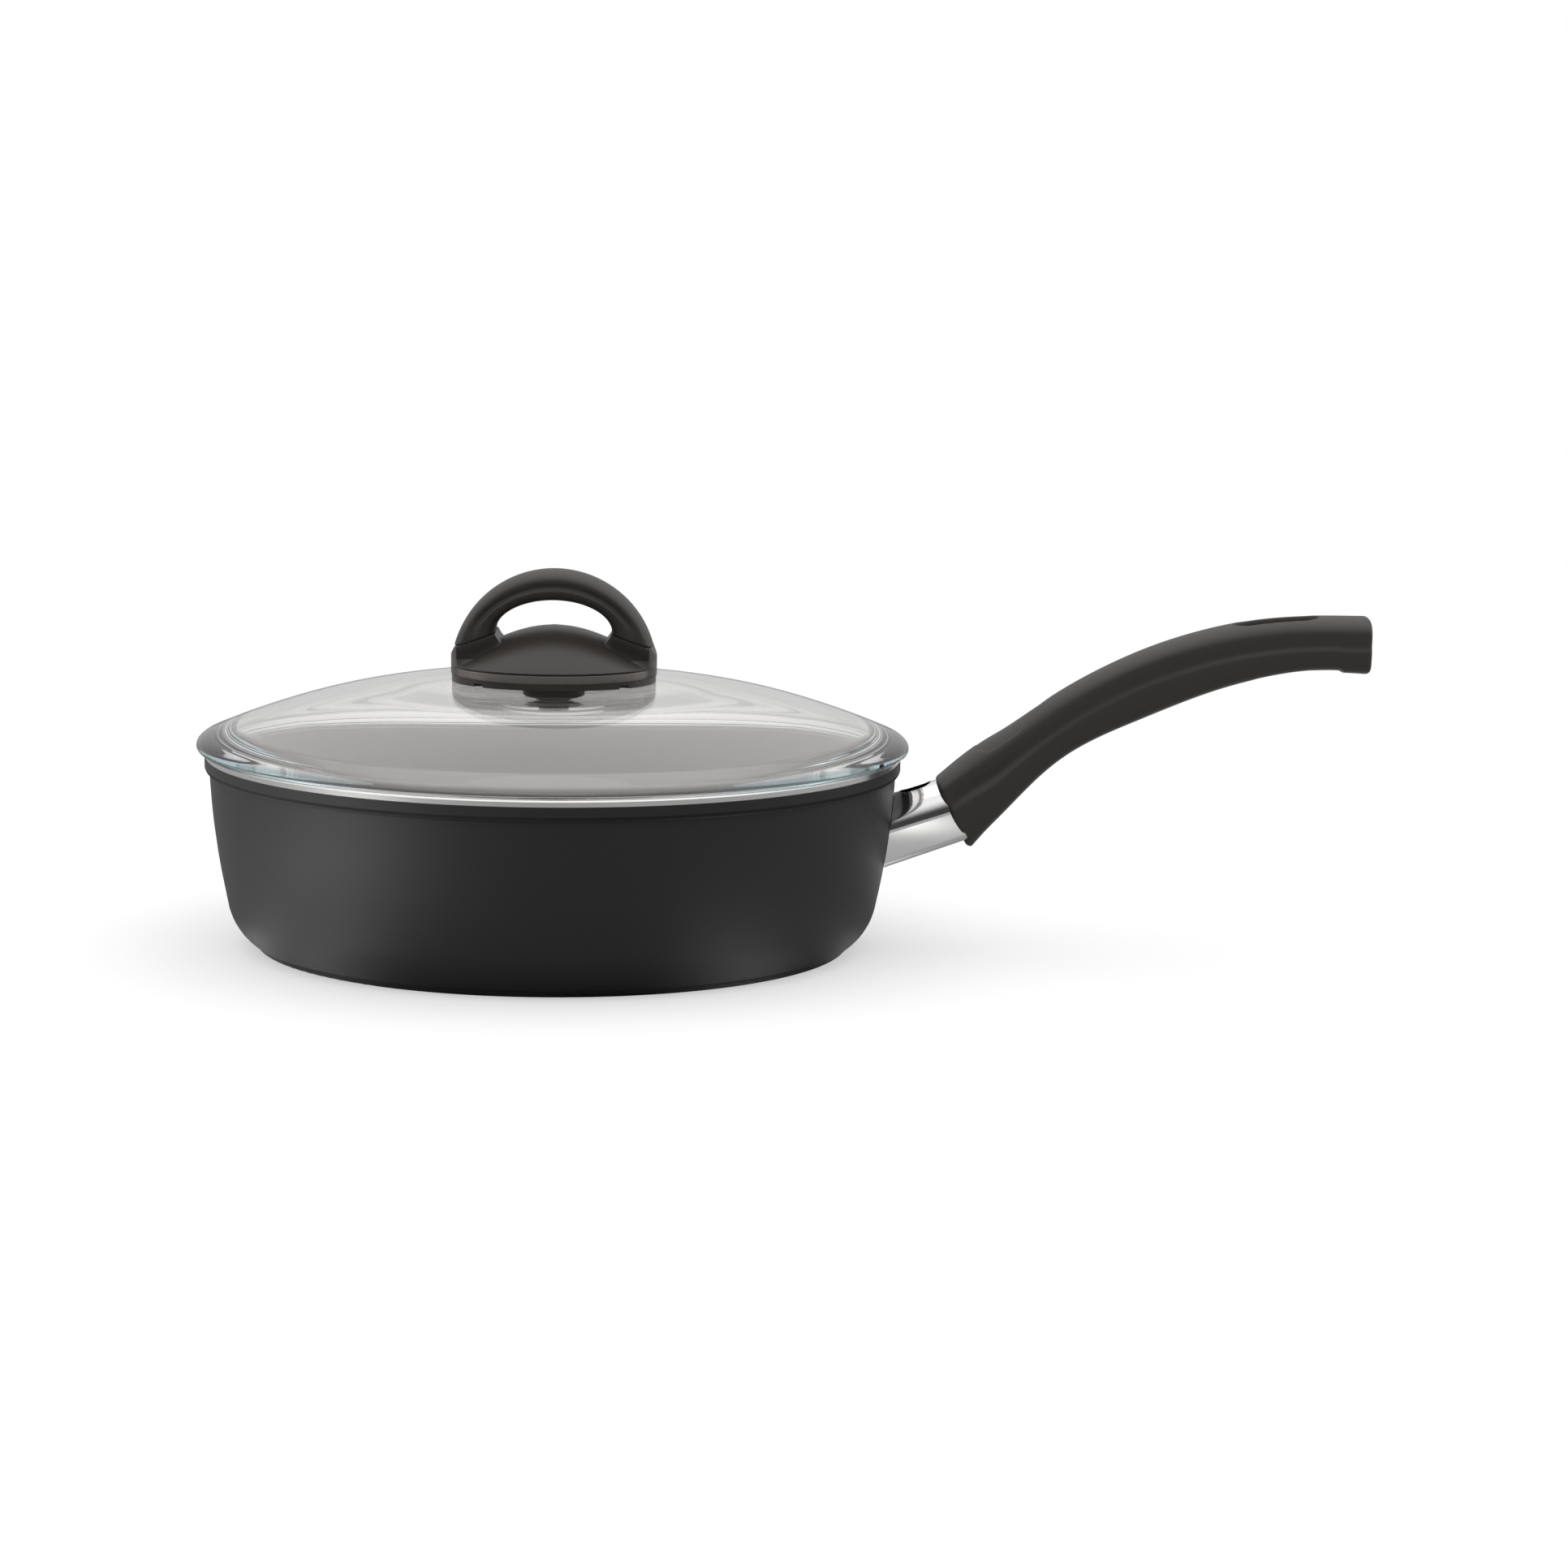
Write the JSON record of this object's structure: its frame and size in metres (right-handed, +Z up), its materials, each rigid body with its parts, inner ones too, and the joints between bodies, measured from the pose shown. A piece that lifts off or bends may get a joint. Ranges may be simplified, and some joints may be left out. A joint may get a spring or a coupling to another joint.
{
  "type": "saute pan with lid",
  "caption": "Deep cast saute pan with a long curved moulded grip, a polished sleeve and a domed glass lid with an arched knob.",
  "frame": {"origin": "on the pan's axis at the underside of its base", "axes": "+Z up along the pan's axis, +X towards the grip, lid on the pan"},
  "size_m": [0.4709, 0.2864, 0.152],
  "materials": {
    "pan_coating": "satin dark grey non-stick coating on cast aluminium",
    "polished_steel": "mirror",
    "grip_plastic": "fine matt texture",
    "knob_plastic": "satin, slightly metallic",
    "lid_glass": "clear and polished",
    "fastener_steel": "plain",
    "insert_brass": "plain",
    "seal_rubber": "matt silicone"
  },
  "bodies": {
    "pan": {"pan_body": "pan_coating", "handle_insert": "fastener_steel", "flame_guard": "polished_steel", "handle_grip": "grip_plastic", "handle_washer": "fastener_steel", "handle_lock_washer": "fastener_steel", "handle_screw": "fastener_steel"},
    "lid": {"lid_glass": "lid_glass", "knob_base": "knob_plastic", "knob_base_plate": "knob_plastic", "knob_arch": "grip_plastic", "knob_arch_screws": "fastener_steel", "knob_insert": "insert_brass", "knob_seat_seal": "seal_rubber", "knob_lower_seal": "seal_rubber", "knob_washer": "fastener_steel", "knob_screw": "fastener_steel"}
  },
  "joints": [
    {"name": "lid_lift", "type": "slide", "parent": "pan", "child": "lid", "axis": [0, 0, 1], "range_m": [0, 0.15]}
  ]
}
